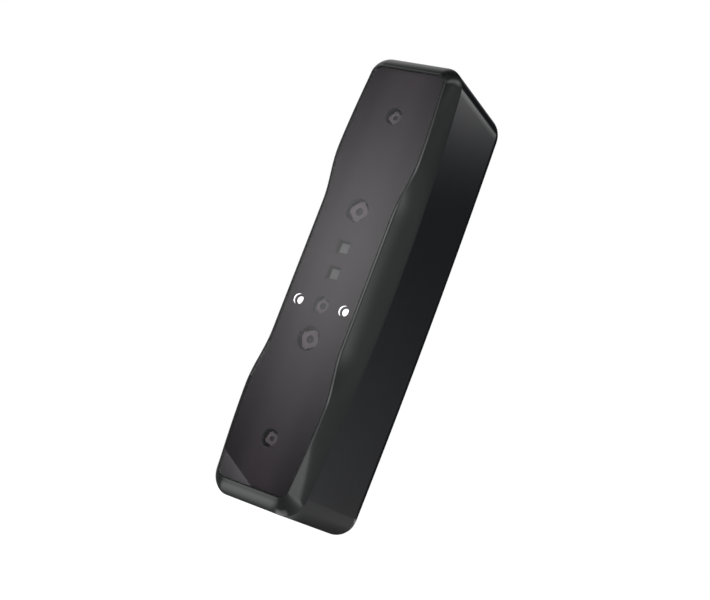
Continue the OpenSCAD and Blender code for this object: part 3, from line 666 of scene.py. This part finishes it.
def symbol(name, shapes, z, r, body):
    """A mark let into a button's dish, standing a hair above it."""
    verts, faces = [], []
    for outline in shapes:
        n, base = len(outline), len(verts)
        verts += [at(x, 62.3, z + h) for x, h in outline]
        verts += [at(x, dish_at(math.hypot(x, h), r) + 0.03, z + h) for x, h in outline]
        faces += [tuple(base + i for i in range(n)), tuple(base + n + i for i in reversed(range(n)))]
        faces += [tuple(base + k for k in face) for face in tube_faces(n, 2)]
    dress(add_object(name, closed_mesh(name, verts, faces), body=body), "plunger_plastic")


MARKS = {
    "scan": [[(2.1, 2.0), (2.1, -2.0), (-1.0, 0.0)], rounded(-2.2, 0, 0.7, 4.0, 0.3, 5)],
    "plus": [[(0.35, 0.35), (1.8, 0.35), (1.8, -0.35), (0.35, -0.35), (0.35, -1.8), (-0.35, -1.8),
              (-0.35, -0.35), (-1.8, -0.35), (-1.8, 0.35), (-0.35, 0.35), (-0.35, 1.8), (0.35, 1.8)]],
    "minus": [rounded(0, 0, 3.6, 0.7, 0.3, 5)],
}
for key, (z, r) in BUTTONS.items():
    dish = [(k * r, dish_at(k * r, r)) for k in (0.004, 0.11, 0.22, 0.33, 0.44, 0.55, 0.66, 0.77, DISH_EDGE)]
    edge = [(r - 0.3, CAP_FACE - 0.02), (r - 0.12, CAP_FACE - 0.08), (r - 0.03, CAP_FACE - 0.2)]
    skirt = [(r, CAP_FACE - 0.4), (r, 61.0), (r + 0.8, 61.0), (r + 0.8, 60.2), (1.6, 60.2), (1.6, 56.11)]
    cap = revolve(key + "_cap", dish + edge + skirt, (0, z))
    dress(add_object(key + "_cap", cap, body=key + "_button_body"), "button_plastic", key + "_button")
    symbol(key + "_symbol", MARKS[key], z, r, key + "_button_body")

tip = [(0.01, PANEL_FACE), (INDICATOR_R * 0.5, PANEL_FACE - 0.03), (INDICATOR_R * 0.85, PANEL_FACE - 0.1),
       (INDICATOR_R, PANEL_FACE - 0.25), (INDICATOR_R, 61.0)]
bar = [(w, INDICATOR_Z + z) for w, z in box_rungs(6.5, 1.5, 0.2)]
pieces = [revolve("indicator_tip", tip, (x, INDICATOR_Z), 32) for x in INDICATORS]
pieces.append(loft("guide_bar", [flat(bar, 58.1), flat(bar, 61.15)]))
verts, faces = [], []
for piece in pieces:
    base = len(verts)
    verts += [v.co.copy() for v in piece.vertices]
    faces += [tuple(base + k for k in p.vertices) for p in piece.polygons]
guide = add_object("indicator_guide", closed_mesh("indicator_guide", verts, faces))
dress(guide, "light_guide", "indicator_light_guide")


# ------------------------------------------------------------ stage
FLOOR_HALF, FRONT_LIGHT = 4, 0.1                   # half the floor's width in metres, its light in front
TOUCH = 0.3                                        # in mm: a shorter ray starts on what stands on the floor


def floor_material():
    """A pale sweep: plain white to the camera and softly lit to the object. It is clear from underneath, and
    where the object touches it."""
    mat, nt, b = new_material("stage_floor")
    b.inputs["Base Color"].default_value = (0.25, 0.25, 0.25, 1)
    b.inputs["Roughness"].default_value = 0.9
    b.inputs["Specular IOR Level"].default_value = 0.0
    b.inputs["Emission Color"].default_value = (1, 1, 1, 1)
    path = node(nt, "ShaderNodeLightPath")
    where = node(nt, "ShaderNodeTexCoord").outputs["Object"]
    x, y = axis_of(nt, where, "X"), axis_of(nt, where, "Y")

    def span(value, start, end, low, high):
        return ranged(nt, value, start, end, low, high, "SMOOTHSTEP")

    def join(operation, *values):
        return math_of(nt, operation, *values)

    # a bright strip along the foot of the bezel, and a spot at its corner
    across = join("MULTIPLY", span(x, -18, -14, 0.0, 1.0), span(x, 7.5, 12, 1.0, 0.0))
    deep = join("MULTIPLY", span(y, -34.5, -31, 0.35, 1.0), span(y, -31, -26, 1.9, 0.15))
    strip = join("MULTIPLY", across, deep)
    spot = join("MULTIPLY", join("MULTIPLY", span(x, 9.5, 12, 0.0, 1.0), span(x, 15, 17, 1.2, 0.0)),
                join("MULTIPLY", span(y, -29, -27.5, 0.0, 1.0), span(y, -26, -24.5, 1.0, 0.0)))
    # a wide pool to the right of them, which is dim beside the housing
    turn = span(join("MULTIPLY_ADD", x, -0.36, y), -29.5, -18.5, 1.0, 0.0)
    beside = span(x, 13, 24, 0.04, 0.24)
    pool = join("MULTIPLY_ADD", join("SUBTRACT", span(x, 14, 56, 0.2, 1.9), beside), turn, beside)
    # an even dim floor in front, and a lighter one far behind
    near = span(join("MULTIPLY_ADD", x, 2.0, y), -100, -50, 0.0, 1.0)
    bright = join("SUBTRACT", join("MAXIMUM", join("ADD", strip, spot), pool), FRONT_LIGHT)
    behind = span(join("MULTIPLY_ADD", x, -2.5, y), 90, 300, 0.0, 0.6)
    falling = join("ADD", join("MULTIPLY_ADD", bright, near, FRONT_LIGHT), behind)
    power = node(nt, "ShaderNodeMapRange", in_To_Max=1.0)
    nt.links.new(path.outputs["Is Camera Ray"], power.inputs["Value"])
    nt.links.new(falling, power.inputs["To Min"])
    nt.links.new(power.outputs["Result"], b.inputs["Emission Strength"])
    facing = node(nt, "ShaderNodeNewGeometry")
    touched = join("LESS_THAN", path.outputs["Ray Length"], TOUCH * MM)
    clear = node(nt, "ShaderNodeBsdfTransparent")
    either = node(nt, "ShaderNodeMixShader")
    nt.links.new(join("MAXIMUM", facing.outputs["Backfacing"], touched), either.inputs[0])
    nt.links.new(b.outputs[0], either.inputs[1])
    nt.links.new(clear.outputs[0], either.inputs[2])
    nt.links.new(either.outputs[0], nt.nodes["Material Output"].inputs["Surface"])
    return mat


floor = bpy.data.meshes.new("stage_floor")
floor.from_pydata([(x * FLOOR_HALF, y * FLOOR_HALF, 0) for x, y in ((-1, -1), (1, -1), (1, 1), (-1, 1))],
                  [], [(0, 1, 2, 3)])
floor = link(bpy.data.objects.new("stage_floor", floor))
floor.data.materials.append(floor_material())


# ------------------------------------------------------------ studio light
# soft lobe: azimuth from the window's side and elevation in degrees, tightness, strength
LOBES = [
    (-31.5, 10.7, 165.0, 1.46), (12.0, 36.0, 16.0, 3.4), (48.0, 12.0, 100.0, 3.8), (96.0, 0.0, 28.0, 1.85),
    (78.0, 44.0, 60.0, 1.7), (100.0, 43.0, 60.0, 1.3), (118.0, 39.0, 60.0, 1.5), (128.0, 8.0, 25.0, 0.32),
    (158.0, 22.3, 500.0, 1.6), (153.0, -3.0, 60.0, 0.27), (215.0, 35.0, 40.0, 0.5), (240.0, 52.0, 30.0, 0.75),
    (238.0, 15.0, 15.0, 0.3), (20.0, -72.0, 12.0, 0.9),
]
AMBIENT = 0.012
# a flag's straight edge crosses the low corner of the window's reflection
FLAG_EDGE, FLAG_FADE, FLAG_SHARP = (-0.466, 0.295, -0.834), 45.0, 1500.0
FLAG_LOBE = (-33.0, 0.0, 60.0, 0.8)


def direction(azimuth, elevation):
    a, e = math.radians(azimuth), math.radians(elevation)
    return Vector((math.sin(a) * math.cos(e), -math.cos(a) * math.cos(e), math.sin(e)))


def studio_world():
    """Soft lobes of light for the object, and plain white for the camera."""
    world = bpy.data.worlds.new("studio")
    world.use_nodes = True
    nt = world.node_tree
    nt.nodes.clear()
    ray = node(nt, "ShaderNodeTexCoord").outputs["Generated"]

    def along(vector):
        dot = node(nt, "ShaderNodeVectorMath", operation="DOT_PRODUCT")
        dot.inputs[1].default_value = vector
        nt.links.new(ray, dot.inputs[0])
        return dot.outputs["Value"]

    def join(operation, *values):
        return math_of(nt, operation, *values)

    def lobe(azimuth, elevation, tight, power):
        falling = join("MULTIPLY_ADD", along(direction(azimuth, elevation)), tight, -tight)
        return join("MULTIPLY", join("EXPONENT", falling), power)

    total = AMBIENT
    for spec in LOBES:
        total = join("ADD", total, lobe(*spec))
    past = along(FLAG_EDGE)
    edge = join("MINIMUM", join("MAXIMUM", join("MULTIPLY", past, FLAG_SHARP), 0.0), 1.0)
    fade = join("EXPONENT", join("MULTIPLY", past, -FLAG_FADE))
    flag = join("MULTIPLY", join("MULTIPLY", edge, fade), lobe(*FLAG_LOBE))
    lit = node(nt, "ShaderNodeBackground")
    nt.links.new(join("ADD", total, flag), lit.inputs["Color"])
    white = node(nt, "ShaderNodeBackground", in_Color=(1, 1, 1, 1))
    path = node(nt, "ShaderNodeLightPath")
    mix = node(nt, "ShaderNodeMixShader")
    nt.links.new(path.outputs["Is Camera Ray"], mix.inputs[0])
    nt.links.new(lit.outputs[0], mix.inputs[1])
    nt.links.new(white.outputs[0], mix.inputs[2])
    nt.links.new(mix.outputs[0], node(nt, "ShaderNodeOutputWorld").inputs["Surface"])
    return world


scene = bpy.context.scene
scene.world = studio_world()
scene.view_settings.view_transform = "Standard"
scene.view_settings.look = "None"

# ------------------------------------------------------------ camera, at the photograph's angle
CAMERA_AT, LENS, SENSOR_WIDTH, CLIP_START = (0.2663, -0.4436, 0.0035), 68.95, 36.0, 0.01
AHEAD, TO_RIGHT = (-0.5165, 0.8415, 0.1584), (0.8258, 0.4406, 0.3519)

camera = link(bpy.data.objects.new("camera", bpy.data.cameras.new("camera")))
camera.data.sensor_width = SENSOR_WIDTH
camera.data.lens = LENS
camera.data.clip_start = CLIP_START
camera.location = CAMERA_AT
ahead = Vector(AHEAD).normalized()
up = Vector(TO_RIGHT).normalized().cross(ahead).normalized()
camera.rotation_mode = "QUATERNION"
camera.rotation_quaternion = Matrix((ahead.cross(up), up, -ahead)).transposed().to_quaternion()
scene.camera = camera
